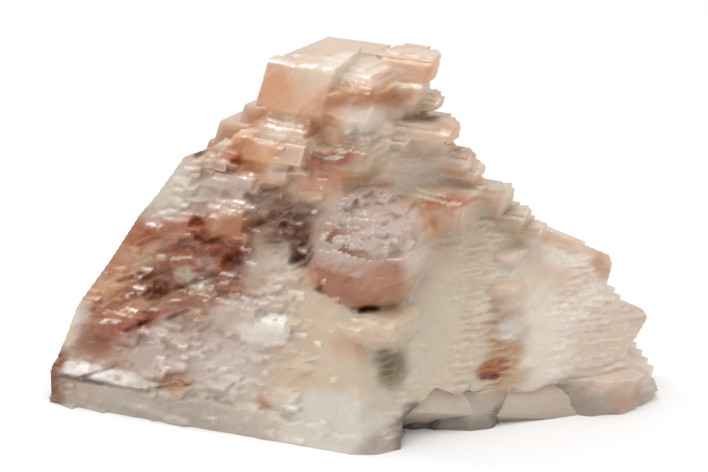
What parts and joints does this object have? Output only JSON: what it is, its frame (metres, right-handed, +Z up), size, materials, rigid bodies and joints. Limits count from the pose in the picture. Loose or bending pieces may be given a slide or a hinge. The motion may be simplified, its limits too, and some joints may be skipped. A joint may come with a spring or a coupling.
{
  "type": "calcite crystal cluster",
  "caption": "Leaning mass of parallel stepped calcite rhombs with a toothed right edge, a large rounded crystal in the middle of its face and a flat base.",
  "frame": {"origin": "middle of the bounding box's underside, on the plane the cluster rests on", "axes": "+X runs along the cluster's width to the toothed edge, +Y from the crystal face to the back, +Z up"},
  "size_m": [0.1264, 0.0646, 0.0731],
  "materials": {
    "calcite": "satin crystal faces, milky with orange iron stain"
  },
  "bodies": {
    "root": {"calcite_cluster": "calcite"}
  },
  "joints": []
}
